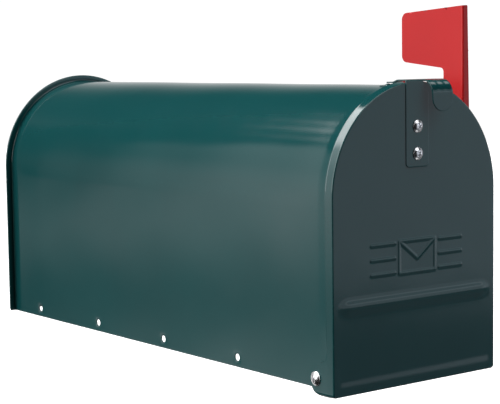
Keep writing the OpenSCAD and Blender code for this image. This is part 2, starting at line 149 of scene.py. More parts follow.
def inside(points, polygon):
    """Which of the points lie in the polygon, by counting crossings."""
    p, q = np.asarray(points, float), np.asarray(polygon, float)
    x, y = p[:, 0][:, None], p[:, 1][:, None]
    x0, y0 = q[:, 0], q[:, 1]
    x1, y1 = np.roll(x0, -1), np.roll(y0, -1)
    cross = (y0 > y) != (y1 > y)
    with np.errstate(divide="ignore", invalid="ignore"):
        at = x0 + (y - y0) * (x1 - x0) / (y1 - y0)
    return (np.sum(cross & (x < at), axis=1) % 2) == 1


def near(points, polygon, gap):
    """Which of the points lie within gap of the polygon's corners."""
    p, q = np.asarray(points, float), np.asarray(polygon, float)
    hit = np.zeros(len(p), bool)
    for corner in q:
        hit |= np.hypot(p[:, 0] - corner[0], p[:, 1] - corner[1]) < gap
    return hit


def clean(outline, closest=0.05):
    """The outline without points that nearly repeat the one before."""
    kept = [p for p, q in zip(outline, [outline[-1], *outline[:-1]]) if math.dist(p, q) > closest]
    return np.array(kept)


def fill(outline, inner, holes=(), gap=0.4):
    """Triangles inside outline, less its holes, through the inner points: (points, triangles)."""
    outline = clean(list(outline))
    inner = np.asarray(inner, float).reshape(-1, 2)
    keep = inside(inner, outline) & ~near(inner, outline, gap)
    for hole in holes:
        keep &= ~inside(inner, hole) & ~near(inner, hole, gap)
    points, edges = [], []
    for loop in [outline, *holes]:
        start, n = len(points), len(loop)
        points += [Vector((float(p[0]), float(p[1]))) for p in loop]
        edges += [(start + i, start + (i + 1) % n) for i in range(n)]
    points += [Vector((float(p[0]), float(p[1]))) for p in inner[keep]]
    made = delaunay_2d_cdt(points, edges, [], 0, 1e-6)
    flat, tris = np.array([tuple(p) for p in made[0]]), np.array(made[2])
    middle = flat[tris].mean(axis=1)
    wanted = inside(middle, outline)
    for hole in holes:
        wanted &= ~inside(middle, hole)
    return flat, tris[wanted]


def grid(x0, x1, z0, z1, dx, dz):
    """Points of a staggered grid."""
    found = []
    for k, z in enumerate(np.arange(z0, z1 + 1e-6, dz)):
        for x in np.arange(x0 + (k % 2) * dx / 2, x1 + 1e-6, dx):
            found.append((x, z))
    return found


def add_fill(skin, flat, tris, place):
    """Adds a filled area to the skin; place(u, v) gives its points in space."""
    ids = skin.add(place(flat[:, 0], flat[:, 1]))
    skin.faces.extend(tuple(ids[i] for i in t) for t in tris)


def circle(x, z, r, n=32, start=0.0, turn=TAU):
    closed = abs(turn - TAU) < 1e-9
    last = n if closed else n + 1
    return [(x + r * math.cos(start + turn * i / n), z + r * math.sin(start + turn * i / n))
            for i in range(last)]


def along(a, b, step):
    """Points from a towards b, b left out, about step apart."""
    n = max(1, round(math.dist(a, b) / step))
    return [(a[0] + (b[0] - a[0]) * i / n, a[1] + (b[1] - a[1]) * i / n) for i in range(n)]


def rounded_polygon(corners, step):
    """Closed outline through (x, z, radius) corners, with its straight stretches divided."""
    n, found = len(corners), []
    for i in range(n):
        p, a, b = (np.array(corners[k % n][:2], float) for k in (i, i - 1, i + 1))
        r = corners[i][2]
        u, v = (a - p) / np.linalg.norm(a - p), (b - p) / np.linalg.norm(b - p)
        if r <= 0:
            found.append([tuple(p)])
            continue
        half = math.acos(max(-1.0, min(1.0, float(u @ v)))) / 2
        reach = r / math.tan(half)
        centre = p + (u + v) / np.linalg.norm(u + v) * r / math.sin(half)
        first, last = p + u * reach - centre, p + v * reach - centre
        a0 = math.atan2(first[1], first[0])
        turn = (math.atan2(last[1], last[0]) - a0 + math.pi) % TAU - math.pi
        count = max(3, round(abs(turn) * r / min(step, 0.8)))
        found.append([(centre[0] + r * math.cos(a0 + turn * k / count),
                       centre[1] + r * math.sin(a0 + turn * k / count)) for k in range(count + 1)])
    outline = []
    for i in range(n):
        outline += found[i]
        outline += along(found[i][-1], found[(i + 1) % n][0], step)[1:]
    return outline


SHARP_ANGLE = math.radians(38)


def finish_mesh(obj):
    """Applies the object's modifiers, marks its sharp edges and stores how exposed each edge is."""
    dg = bpy.context.evaluated_depsgraph_get()
    made = bpy.data.meshes.new_from_object(obj.evaluated_get(dg))
    obj.modifiers.clear()
    old, obj.data = obj.data, made
    bpy.data.meshes.remove(old)
    bm = bmesh.new()
    bm.from_mesh(made)
    exposed = np.zeros(len(bm.verts), np.float32)
    for face in bm.faces:
        face.smooth = True
    for edge in bm.edges:
        angle = edge.calc_face_angle_signed(0.0) if edge.is_manifold else 0.0
        edge.smooth = abs(angle) < SHARP_ANGLE
        for v in edge.verts:
            exposed[v.index] = max(exposed[v.index], min(1.0, angle / 0.6))
    bm.to_mesh(made)
    bm.free()
    store = made.attributes.new("exposed", "FLOAT", "POINT")
    store.data.foreach_set("value", exposed)
    made.update()


def piece(name, skin, body, material, replaces=(), thick=0.0, bevel=0.0, cutters=(), even=True):
    """Makes the skin a finished piece that rides on a CAD body."""
    mesh = bpy.data.meshes.new(name)
    mesh.from_pydata([Vector(p) * MM for p in skin.points], [], skin.faces)
    bm = bmesh.new()
    bm.from_mesh(mesh)
    bmesh.ops.remove_doubles(bm, verts=bm.verts, dist=2e-6)
    bm.to_mesh(mesh)
    bm.free()
    obj = bpy.data.objects.new(name, mesh)
    bpy.context.scene.collection.objects.link(obj)
    if thick:
        m = obj.modifiers.new("thickness", "SOLIDIFY")
        m.thickness, m.offset, m.use_even_offset = thick * MM, -1, even
    for cutter in cutters:
        m = obj.modifiers.new("hole", "BOOLEAN")
        m.object, m.operation, m.solver = cutter, "DIFFERENCE", "EXACT"
    if bevel:
        m = obj.modifiers.new("edges", "BEVEL")
        m.width, m.segments, m.limit_method = bevel * MM, 2, "ANGLE"
        m.angle_limit = math.radians(55)
    finish_mesh(obj)
    for cutter in cutters:
        bpy.data.objects.remove(cutter)
    obj.data.materials.append(material)
    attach(obj, body)
    if replaces:
        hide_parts(*replaces)
    return obj


def rod_cutter(p, q, r, sides=40):
    """Plain rod from p to q that cuts a hole; it is removed once used."""
    p, q = Vector(p) * MM, Vector(q) * MM
    mesh = bpy.data.meshes.new("cutter")
    bm = bmesh.new()
    bmesh.ops.create_cone(bm, cap_ends=True, segments=sides, radius1=r * MM, radius2=r * MM,
                          depth=(q - p).length)
    bm.to_mesh(mesh)
    bm.free()
    obj = bpy.data.objects.new("cutter", mesh)
    bpy.context.scene.collection.objects.link(obj)
    turn = (q - p).to_track_quat("Z", "Y").to_matrix().to_4x4()
    obj.matrix_world = Matrix.Translation((p + q) / 2) @ turn
    obj.hide_render = True
    return obj


# ---- materials -------------------------------------------------------------------------------


class Shader:
    """Small helper that wires a Principled material's nodes."""

    def __init__(self, name):
        self.material = bpy.data.materials.new(name)
        self.material.use_nodes = True
        self.tree = self.material.node_tree
        self.surface = self.tree.nodes["Principled BSDF"]
        self.place = self.node("ShaderNodeTexCoord").outputs["Object"]

    def node(self, kind, **values):
        made = self.tree.nodes.new(kind)
        for key, value in values.items():
            setattr(made, key, value)
        return made

    def link(self, a, b):
        self.tree.links.new(a, b)

    def noise(self, scale, detail=2.0, roughness=0.5, stretch=None):
        where = self.place
        if stretch:
            m = self.node("ShaderNodeMapping")
            m.inputs["Scale"].default_value = stretch
            self.link(where, m.inputs["Vector"])
            where = m.outputs["Vector"]
        made = self.node("ShaderNodeTexNoise")
        made.inputs["Scale"].default_value = scale
        made.inputs["Detail"].default_value = detail
        made.inputs["Roughness"].default_value = roughness
        self.link(where, made.inputs["Vector"])
        return made.outputs["Fac"]

    def ramp(self, value, *ends):
        """Maps value from one range to another: low, high and, unless 0 and 1, the new low and high."""
        made = self.node("ShaderNodeMapRange")
        for key, end in zip(("From Min", "From Max", "To Min", "To Max"), ends):
            made.inputs[key].default_value = end
        self.link(value, made.inputs["Value"])
        return made.outputs["Result"]

    def times(self, a, b):
        made = self.node("ShaderNodeMath", operation="MULTIPLY")
        self.link(a, made.inputs[0])
        if isinstance(b, float):
            made.inputs[1].default_value = b
        else:
            self.link(b, made.inputs[1])
        return made.outputs[0]

    def mix(self, factor, a, b):
        made = self.node("ShaderNodeMix", data_type="RGBA")
        self.link(factor, made.inputs["Factor"])
        for socket, value in ((made.inputs["A"], a), (made.inputs["B"], b)):
            if isinstance(value, tuple):
                socket.default_value = (*value, 1)
            else:
                self.link(value, socket)
        return made.outputs["Result"]

    def bumps(self, *layers):
        """Bump from (height, strength, distance) layers."""
        normal = None
        for height, strength, distance in layers:
            made = self.node("ShaderNodeBump")
            made.inputs["Strength"].default_value = strength
            made.inputs["Distance"].default_value = distance
            self.link(height, made.inputs["Height"])
            if normal is not None:
                self.link(normal, made.inputs["Normal"])
            normal = made.outputs["Normal"]
        self.link(normal, self.surface.inputs["Normal"])

    def exposed(self):
        made = self.node("ShaderNodeAttribute", attribute_name="exposed")
        return made.outputs["Fac"]

    def set(self, **values):
        for key, value in values.items():
            self.surface.inputs[key.replace("_", " ")].default_value = value


def paint(name, deep, pale, edge_wear_and_highlight, rough, ior=1.5):
    """Baked enamel over steel: slow colour drift, orange peel, fine dust, and convex edges painted lighter,
    partly as wear and partly as a painted highlight.
    """
    s = Shader(name)
    colour = s.mix(s.ramp(s.noise(9.0, 3.0), 0.35, 0.65), deep, pale)
    # convex edges turn a lighter tone: partly edge wear, partly a painted highlight along the rims
    wear_and_highlight_mask = s.times(s.exposed(), s.ramp(s.noise(420.0, 4.0, 0.65), 0.5, 0.72))
    colour = s.mix(s.times(wear_and_highlight_mask, 0.55), colour, edge_wear_and_highlight)
    s.link(colour, s.surface.inputs["Base Color"])
    s.link(s.ramp(s.noise(60.0, 4.0, 0.6), 0.3, 0.7, *rough), s.surface.inputs["Roughness"])
    s.bumps((s.noise(380.0, 2.0), 0.4, 0.00004))
    s.set(IOR=ior)
    return s.material


def plated(name, tint, dull, rough):
    """Zinc-plated steel: tiny crystals, faint turning lines and darker handling marks."""
    s = Shader(name)
    marks = s.ramp(s.noise(700.0, 4.0, 0.6), 0.42, 0.75)
    s.link(s.mix(marks, tint, dull), s.surface.inputs["Base Color"])
    s.link(s.ramp(s.noise(1500.0, 3.0), 0.3, 0.7, *rough), s.surface.inputs["Roughness"])
    lines = s.noise(900.0, 2.0, stretch=(1, 1, 12))
    s.bumps((s.noise(2400.0, 2.0), 0.15, 0.00003), (lines, 0.1, 0.00003))
    s.set(Metallic=1.0)
    return s.material


def moulded(name, deep, pale):
    """Moulded nylon: fine spark-eroded grain and a slightly greasy, uneven gloss."""
    s = Shader(name)
    s.link(s.mix(s.noise(300.0, 3.0), deep, pale), s.surface.inputs["Base Color"])
    s.link(s.ramp(s.noise(800.0, 3.0), 0.3, 0.7, 0.42, 0.58), s.surface.inputs["Roughness"])
    s.bumps((s.noise(3000.0, 2.0), 0.3, 0.00004))
    return s.material


# the third colour is the lighter tone on convex edges: partly wear, partly a painted highlight
GREEN = paint("green_enamel", deep=(0.0048, 0.051, 0.053), pale=(0.0056, 0.056, 0.058),
              edge_wear_and_highlight=(0.03, 0.10, 0.10), rough=(0.09, 0.12))
RED = paint("red_enamel", deep=(0.50, 0.004, 0.006), pale=(0.54, 0.006, 0.008),
            edge_wear_and_highlight=(0.60, 0.12, 0.10), rough=(0.16, 0.22), ior=1.36)
ZINC = plated("bright_zinc", (0.94, 0.94, 0.95), (0.74, 0.74, 0.76), (0.18, 0.32))
NYLON = moulded("black_nylon", (0.012, 0.012, 0.013), (0.022, 0.023, 0.024))


# ---- outlines --------------------------------------------------------------------------------


def arch_loop(r, bottom, corner, rows, n_bottom=30, n_corner=7, n_arc=60):
    """Closed arch outline, counter-clockwise from the bottom's middle as the door is seen:
    arrays of points (x, z) and outward directions. rows are the heights along the straight sides."""
    half = [(x, bottom, 0, -1) for x in np.linspace(0, r - corner, n_bottom)[:-1]]
    for a in np.linspace(-math.pi / 2, 0, n_corner + 1):
        c, s = math.cos(a), math.sin(a)
        half.append((r - corner + corner * c, bottom + corner + corner * s, c, s))
    half += [(r, z, 1, 0) for z in rows]
    for a in np.linspace(0, math.pi / 2, n_arc + 1)[1:]:
        half.append((r * math.cos(a), ARCH_Z + r * math.sin(a), math.cos(a), math.sin(a)))
    half = np.array(half)
    other = half[-2:0:-1] * np.array([-1, 1, -1, 1])
    loop = np.vstack([half, other])
    return loop[:, :2], loop[:, 2:]


def ring(points, directions, inset, y):
    """Points of a loop moved inwards by inset, at station y (numbers or one per point)."""
    xz = points - directions * np.reshape(inset, (-1, 1))
    return np.column_stack([xz[:, 0], np.broadcast_to(y, len(xz)), xz[:, 1]])


# ---- door ------------------------------------------------------------------------------------

FLANGE = 8.0
EDGE_R = 1.2
DRAFT = 0.7
LIP_LEN, LIP_OUT = 1.2, 0.2
BEAD_Z, BEAD_W, BEAD_LEN, BEAD_RISE = SKIRT_Z + 63.2, 14.5, 164.0, 1.7
BEAD_FALL, BEAD_END = 9.5, 12.0
FIELD_LOW, FIELD_STEP, FIELD_TOP, FIELD_DEPTH = SKIRT_Z + 4.5, 7.5, 0.1, 0.24
EMBLEM_Z, EMBLEM_W, EMBLEM_H, EMBLEM_LINE, EMBLEM_RISE = SKIRT_Z + 96.5, 38.0, 25.0, 1.7, 0.6
BAR_LEN, BAR_PITCH = 26.0, 11.4
EAR_Y, EAR_R, EAR_TOP_R, EAR_FILLET, EAR_HOLE_R = FACE_Y + 14, 13.2, 10.6, 10.0, 3.65
EAR_START, EAR_BLEND = 2.9, 2.4
SCREW_Z = [SKIRT_Z + 197.4, SKIRT_Z + 176.1]


def ear_rows():
    """Heights along the door's straight sides, close together where the ear's edge curves."""
    low = [HINGE.z + EAR_R * math.sin(a) for a in np.linspace(-math.asin(10 / EAR_R), 0, 14)[1:]]
    top = [HINGE.z + EAR_TOP_R * math.sin(a) for a in np.linspace(0, math.radians(82), 14)[1:]]
    centre = HINGE.z + EAR_TOP_R + EAR_FILLET
    fillet = [centre - EAR_FILLET * math.cos(a) for a in np.linspace(0.04, math.pi / 2, 12)]
    upper = list(np.linspace(centre, ARCH_Z, 26))[1:]
    return low + top + fillet + upper


def flange_depth(x, z):
    """How far the door's flange reaches back at an outline point, hinge ears included."""
    top = HINGE.z + EAR_TOP_R
    if z > top + EAR_FILLET:
        return FLANGE
    if z > top:
        return FLANGE + EAR_FILLET - math.sqrt(max(0, EAR_FILLET ** 2 - (z - top - EAR_FILLET) ** 2))
    if z > HINGE.z:
        return EAR_Y + EAR_R - EAR_TOP_R - FACE_Y + math.sqrt(EAR_TOP_R ** 2 - (z - HINGE.z) ** 2)
    if z > HINGE.z - EAR_R:
        return EAR_Y - FACE_Y + math.sqrt(EAR_R ** 2 - (z - HINGE.z) ** 2)
    return FLANGE + (EAR_Y - FACE_Y - FLANGE) * float(smooth((abs(x) - DOOR_R + EAR_START) / EAR_BLEND))


def segment_distance(x, z, x0, z0, x1, z1):
    dx, dz = x1 - x0, z1 - z0
    t = np.clip(((x - x0) * dx + (z - z0) * dz) / (dx * dx + dz * dz), 0, 1)
    return np.hypot(x - x0 - t * dx, z - z0 - t * dz)


def emblem_lines():
    """Envelope outline between two stacks of bars, as straight strokes (x0, z0, x1, z1)."""
    w, h = EMBLEM_W / 2, EMBLEM_H / 2
    lines = [(-w, -h, w, -h), (w, -h, w, h), (w, h, -w, h), (-w, h, -w, -h),
             (-w, h, 0, -h * 0.15), (0, -h * 0.15, w, h)]
    for side in (-1, 1):
        for row in (-1, 0, 1):
            start = side * (w + 5)
            lines.append((start, row * BAR_PITCH, start + side * (BAR_LEN - 2), row * BAR_PITCH))
    return [(a, EMBLEM_Z + b, c, EMBLEM_Z + d) for a, b, c, d in lines]


def door_relief(x, z):
    """How far the door's pressing stands out of its flat face."""
    end = np.maximum(np.abs(x) - BEAD_LEN / 2 + BEAD_END, 0)
    reach = np.where(z > BEAD_Z, BEAD_W / 2, BEAD_FALL)
    bead = BEAD_RISE * swell(np.hypot(end / BEAD_END, (z - BEAD_Z) / reach))
    fall = np.clip((BEAD_Z - z) / (BEAD_Z - FIELD_LOW), 0, 1)
    sides = smooth((DOOR_R - 4.5 - np.abs(x)) / 5)
    step = smooth((z - FIELD_LOW + FIELD_STEP / 2) / FIELD_STEP) * smooth((BEAD_Z - z) / BEAD_FALL)
    field = (FIELD_TOP + (FIELD_DEPTH - FIELD_TOP) * fall) * sides * step
    stroke = np.full(np.shape(x), 1e9)
    for line in emblem_lines():
        stroke = np.minimum(stroke, segment_distance(x, z, *line))
    emblem = EMBLEM_RISE * (1 - smooth((stroke - 0.35) / EMBLEM_LINE))
    edge = smooth((DOOR_R - 3 - np.hypot(x, np.maximum(z - ARCH_Z, 0))) / 18) * smooth((z - BEAD_Z) / 40)
    return bead - field + emblem + edge * waves(x, z, 0.10, 95)


def make_door():
    rows = ear_rows()
    points, out = arch_loop(DOOR_R, DOOR_BOTTOM, 3.5, rows)
    depth = np.array([flange_depth(x, z) for x, z in points])
    skin = Skin()
    taper = DRAFT * (1 - EDGE_R / FLANGE)
    rings = []
    for a in np.linspace(0, math.pi / 2, 7):
        inset, y = taper + EDGE_R * (1 - math.sin(a)), FACE_Y + EDGE_R * (1 - math.cos(a))
        rings.append(ring(points, out, inset, y))
    face_outline = rings[0][:, [0, 2]]
    lip = LIP_OUT * smooth((points[:, 1] - HINGE.z - 20) / 12)
    for share in np.linspace(0, 1, 15)[1:]:
        y = EDGE_R + share * (depth - LIP_LEN - EDGE_R)
        rings.append(ring(points, out, DRAFT * np.clip(1 - y / FLANGE, 0, 1), FACE_Y + y))
    draft_end = DRAFT * np.clip(1 - (depth - LIP_LEN) / FLANGE, 0, 1)
    for t in (0.34, 0.67, 1.0):
        rings.append(ring(points, out, draft_end - lip * t ** 1.5, FACE_Y + depth - LIP_LEN * (1 - t)))
    skin.rows(rings, closed=True)
    reach = EMBLEM_W / 2 + BAR_LEN + 9
    inner = grid(-reach, reach, EMBLEM_Z - EMBLEM_H / 2 - 3, EMBLEM_Z + EMBLEM_H / 2 + 3, 0.62, 0.62)
    inner += grid(-85, 85, BEAD_Z - 10, BEAD_Z + 10, 1.7, 1.0)
    inner += grid(-85, 85, FIELD_LOW - 4, FIELD_LOW + 5, 1.7, 0.8)
    coarse = np.array(grid(-85, 85, DOOR_BOTTOM + 2, DOOR_HI.z - 2, 4.0, 4.0))
    x, z = coarse.T
    busy = ((np.abs(z - BEAD_Z) < 11) | (np.abs(z - FIELD_LOW) < 6)
            | ((np.abs(z - EMBLEM_Z) < EMBLEM_H / 2 + 4) & (np.abs(x) < reach + 1)))
    inner += [tuple(p) for p in coarse[~busy]]
    flat, tris = fill(face_outline, inner, gap=0.7)
    add_fill(skin, flat, tris, lambda u, v: np.column_stack([u, FACE_Y - door_relief(u, v), v]))
    cutters = [rod_cutter((side * (DOOR_R - 4), HINGE.y, HINGE.z), (side * (DOOR_R + 4), HINGE.y, HINGE.z),
                          EAR_HOLE_R) for side in (-1, 1)]
    return piece("door_panel_pressed", skin, "door", GREEN, ["door_panel"],
                 thick=SHEET, bevel=0.22, cutters=cutters)


# ---- body ------------------------------------------------------------------------------------

HEM_LEN = 6.0
FOLD_R = 0.84
REAR_FILLET = 1.6
FRONT_FLARE, FLARE_FRONT, FLARE_BACK = 0.4, 5.5, 19.5
BELLY, BODY_WAVE = 0.55, 0.12
BLOCK, CELLS = 5.5, 8
RING_SHARES = (0.0, 0.45, 0.72, 0.88, 1.0)
CORNER_R = 8.0
SLIT_Y, SLIT_Z = FACE_Y + 15.9, 0.8


def body_profile():
    """Side view of the body's sheet, cavity side: (y, offset from the nominal outside), from the
    free edge of the front hem, round its fold, along the body and out into the rear flange."""
    lines = [(BODY_FRONT + HEM_LEN, FOLD_R), (BODY_FRONT + HEM_LEN / 2, FOLD_R)]
    for a in np.linspace(0, math.pi, 9):
        lines.append((BODY_FRONT + FOLD_R - FOLD_R * math.sin(a), FOLD_R * math.cos(a)))
    blocks = [SLIT_Y] + HOLE_Y
    stations = [BODY_FRONT + 2.5, BODY_FRONT + 4.5, BODY_FRONT + 6.5]
    edges = []
    for y in blocks:
        stations += [y - BLOCK + 2 * BLOCK * k / CELLS for k in range(CELLS + 1)]
        edges += [y - BLOCK, y + BLOCK]
    rear = BACK_Y - SHEET - REAR_FILLET - SHEET
    edges = [stations[2], *edges, rear]
    for a, b in zip(edges[::2], edges[1::2]):
        n = max(1, round((b - a) / 9))
        stations += list(np.linspace(a, b, n + 1))
    kept = []
    for y in sorted(stations):
        if not kept or y - kept[-1] > 1e-3:
            kept.append(y)
    lines += [(y, -SHEET) for y in kept]
    bend = REAR_FILLET + SHEET
    for a in np.linspace(0, math.pi / 2, 11)[1:]:
        lines.append((rear + bend * math.sin(a), -SHEET + bend * (1 - math.cos(a))))
    lines.append((rear + bend, RIM_R - SHEET - BODY_R))
    return lines


def wall_heights():
    """Heights of the grid's lines up one side, from the skirt's edge to the arch."""
    holes = [HOLE_Z - BLOCK + 2 * BLOCK * k / CELLS for k in range(CELLS + 1)]
    slit = [SLIT_Z - BLOCK + 2 * BLOCK * k / CELLS for k in range(CELLS + 1)]
    upper = list(np.linspace(slit[-1], ARCH_Z, 15))[1:]
    return [SKIRT_Z, SKIRT_Z + 1.2] + holes + [z for z in slit if z > holes[-1] + 0.3] + upper


def cross_section():
    """The body's outline from the left skirt over the roof to the right: (x, z, out_x, out_z)."""
    heights = wall_heights()
    left = [(-1.0, z, -1.0, 0.0) for z in heights]
    arc = [(math.cos(a), ARCH_Z, math.cos(a), math.sin(a)) for a in np.linspace(math.pi, 0, 81)[1:-1]]
    right = [(1.0, z, 1.0, 0.0) for z in reversed(heights)]
    return left + arc + right


def body_flare(y, z):
    """The body opens slightly towards its front edge, but not down by the hinges."""
    along_y = smooth((BODY_FRONT + FLARE_BACK - y) / (FLARE_BACK - FLARE_FRONT))
    return FRONT_FLARE * float(along_y * smooth((z - 5) / 30))


def body_point(section, y, offset):
    _, z, ox, oz = section
    rise = min(1.0, max(0.0, (z - SKIRT_Z) / (ARCH_Z + 40 - SKIRT_Z)))
    belly = BELLY * math.sin(math.pi * rise) if oz == 0 else 0
    ends = float(smooth((y - BODY_FRONT - 20) / 60) * smooth((BACK_Y - 12 - y) / 50))
    soft = waves(y, z + 70 * oz, BODY_WAVE, 150) + belly
    r = BODY_R + offset + body_flare(y, z) + ends * soft * (1 if offset == -SHEET else 0)
    height = z if oz == 0 else ARCH_Z + r * oz
    return (ox * r, y, height)


def hole_patch(skin, side, y0, z0, half_y, half_z, dish, grown):
    """Fills a square block of the skirt's grid with rings that shrink to a hole."""
    steps = np.linspace(-BLOCK, BLOCK, CELLS + 1)[:-1]
    rim = [(t, -BLOCK) for t in steps] + [(BLOCK, t) for t in steps]
    rim += [(-t, BLOCK) for t in steps] + [(-BLOCK, -t) for t in steps]
    ids = []
    for share in RING_SHARES:
        row = []
        for u, v in rim:
            if share > 0:
                a, size = math.atan2(v, u), 1 + grown * (1 - share)
                u, v = half_y * math.cos(a) * size, half_z * math.sin(a) * size
            y, z = y0 + u, z0 + v
            x = body_point((side, z, side, 0.0), y, -SHEET)[0]
            row.append((x - side * dish * share ** 2, y, z))
        ids.append(skin.add(row))
    for a, b in zip(ids, ids[1:]):
        skin.strip(*((b, a) if side < 0 else (a, b)), closed=True)


def make_body():
    profile, sections = body_profile(), cross_section()
    heights = wall_heights()
    skin = Skin()
    rows = [[body_point(s, y, off) for s in sections] for y, off in profile]
    n = len(sections)

    def blocked(i, j):
        y = (profile[i][0] + profile[i + 1][0]) / 2
        if profile[i][1] != -SHEET or profile[i + 1][1] != -SHEET:
            return False
        col = min(j, n - 2 - j)
        if col >= len(heights) - 1:
            return False
        z = (heights[col] + heights[col + 1]) / 2
        spots = [(h, HOLE_Z) for h in HOLE_Y] + [(SLIT_Y, SLIT_Z)]
        return any(abs(y - a) < BLOCK and abs(z - b) < BLOCK for a, b in spots)

    skin.rows(rows, skip=blocked)
    for side in (-1, 1):
        for y in HOLE_Y:
            hole_patch(skin, side, y, HOLE_Z, HOLE_R, HOLE_R, 0.3, 0.55)
        hole_patch(skin, side, SLIT_Y, SLIT_Z, 2.6, 0.75, 0.0, 1.2)
    cut = corner_cutter()
    return piece("body_wrap", skin, "body", GREEN, ["body_shell"], thick=SHEET,
                 bevel=0.2, cutters=[cut])


def corner_cutter():
    """Solid that takes off the skirts' sharp lower front corners."""
    r, y0, z0, spare = CORNER_R, BODY_FRONT, SKIRT_Z, 3
    outline = [(y0 - spare, z0 - spare), (y0 + r, z0 - spare)]
    for a in np.linspace(0, math.pi / 2, 17):
        outline.append((y0 + r - r * math.sin(a), z0 + r - r * math.cos(a)))
    outline.append((y0 - spare, z0 + r))
    n = len(outline)
    mesh = bpy.data.meshes.new("corner")
    points = [Vector((x, y, z)) * MM for x in (-100, 100) for y, z in outline]
    faces = [tuple(range(n - 1, -1, -1)), tuple(range(n, 2 * n))]
    faces += [(i, (i + 1) % n, n + (i + 1) % n, n + i) for i in range(n)]
    mesh.from_pydata(points, [], faces)
    obj = bpy.data.objects.new("corner", mesh)
    bpy.context.scene.collection.objects.link(obj)
    obj.hide_render = True
    return obj


def make_skirt_hems():
    """The sheet's bottom edge, folded inwards against each skirt."""
    y0, y1 = FACE_Y + 35.5, FLOOR_HI.y - 10.5
    skin = Skin()
    x_out, x_in, r = BODY_R - SHEET + 0.05, BODY_R - 2 * SHEET, SHEET / 2
    outline = [(x_out, SKIRT_Z + r)] + circle(x_out - r, SKIRT_Z + r, r, 8, 0.0, -math.pi)
    outline += [(x_in, SKIRT_Z + 3.2), (x_in + 0.25, SKIRT_Z + 3.5), (x_out, SKIRT_Z + 3.5)]
    for side in (-1, 1):
        rows = []
        for y in np.linspace(y0, y1, 24):
            belly = body_point((side, SKIRT_Z, side, 0.0), y, -SHEET)[0] - side * (BODY_R - SHEET)
            rows.append([(side * x + belly, y, z) for x, z in outline])
        ids = [skin.add(row) for row in rows]
        for a, b in zip(ids, ids[1:]):
            skin.strip(*((a, b) if side < 0 else (b, a)), closed=True)
        ends = (tuple(ids[0]), tuple(reversed(ids[-1])))
        skin.faces.extend(ends if side < 0 else tuple(tuple(reversed(e)) for e in ends))
    return piece("skirt_hems", skin, "body", GREEN)


# ---- rear panel ------------------------------------------------------------------------------

FIELD_R, FIELD_BOTTOM, RECESS = BODY_R - 10, 10.0, 4.4
FIELD_FILLET, RIM_FOLD = 2.2, 1.2
REAR_BEADS = [ARCH_Z - 10, ARCH_Z - 60]
REAR_BEAD_RISE, REAR_BEAD_HALF, REAR_BEAD_REACH = 2.5, 50, 6.5


def rear_relief(x, z):
    total = np.zeros(np.shape(x))
    for height in REAR_BEADS:
        end = np.maximum(np.abs(x) - REAR_BEAD_HALF, 0)
        total += REAR_BEAD_RISE * swell(np.hypot(end, z - height) / REAR_BEAD_REACH)
    from_edge = np.minimum(FIELD_R - np.hypot(x, np.maximum(z - ARCH_Z, 0)), z - FIELD_BOTTOM)
    return total + waves(x, z, 0.12, 80) * smooth((from_edge - 4) / 15)


def make_rear():
    rows = list(np.linspace(SKIRT_Z + 3, ARCH_Z, 30))[1:]
    points, out = arch_loop(RIM_R, SKIRT_Z, 3.0, rows)
    rows_in = list(np.linspace(FIELD_BOTTOM + 6, ARCH_Z, 30))[1:]
    inner_points, inner_out = arch_loop(FIELD_R, FIELD_BOTTOM, 6.0, rows_in)
    r, fold, top = FIELD_FILLET, RIM_FOLD, BACK_Y - RECESS
    stack = [ring(inner_points, inner_out, r, top)]
    quarter = np.linspace(0, math.pi / 2, 6)[1:]
    for a in quarter:
        stack.append(ring(inner_points, inner_out, r - r * math.sin(a), top + r * (1 - math.cos(a))))
    for a in quarter:
        stack.append(ring(inner_points, inner_out, -r * (1 - math.cos(a)), BACK_Y - r + r * math.sin(a)))
    edge_in = ring(inner_points, inner_out, -r, BACK_Y)
    edge_out = ring(points, out, fold, BACK_Y)
    for t in (0.33, 0.66):
        stack.append(edge_in + (edge_out - edge_in) * t)
    for a in np.linspace(0, math.pi, 11):
        stack.append(ring(points, out, fold * (1 - math.sin(a)), BACK_Y - fold + fold * math.cos(a)))
    for inset in (2.6, 4.0):
        stack.append(ring(points, out, inset, BACK_Y - 2 * fold))
    skin = Skin()
    skin.rows(stack, closed=True)
    inner = grid(-FIELD_R, FIELD_R, FIELD_BOTTOM, ARCH_Z + FIELD_R, 4.0, 4.0)
    for height in REAR_BEADS:
        inner = [p for p in inner if abs(p[1] - height) > 9 or abs(p[0]) > 60]
        inner += grid(-59, 59, height - 8, height + 8, 1.4, 1.2)
    flat, tris = fill(stack[0][:, [0, 2]], inner, gap=0.9)
    add_fill(skin, flat, tris, lambda u, v: np.column_stack([u, top + rear_relief(u, v), v]))
    skin.flip()
    return piece("rear_panel_pressed", skin, "body", GREEN, ["rear_panel"],
                 thick=SHEET, bevel=0.2)


# ---- floor -----------------------------------------------------------------------------------

RIBS = [(-1.5 + i) * 34.0 for i in range(4)]
RIB_RISE, RIB_REACH, RIB_END = 2.5, 6.5, 30.0
SILL_RISE = 0.4
SEAT_FRONT = FACE_Y + 35.0
SILL_FRONT = FACE_Y + 9.0
FLOOR_BACK = FLOOR_HI.y
FLOOR_HALF = BODY_R - SHEET - 0.05
RIB_MID, RIB_HALF = (SEAT_FRONT + FLOOR_BACK) / 2, (FLOOR_BACK - SEAT_FRONT) / 2 - RIB_END


def floor_height(x, y):
    sill = SILL_RISE * smooth((SEAT_FRONT + 1.5 - y) / 3)
    end = np.maximum(np.abs(y - RIB_MID) - RIB_HALF, 0)
    ribs = 0.0
    for centre in RIBS:
        ribs = ribs + RIB_RISE * swell(np.hypot(x - centre, end) / RIB_REACH)
    return SHEET + sill + ribs


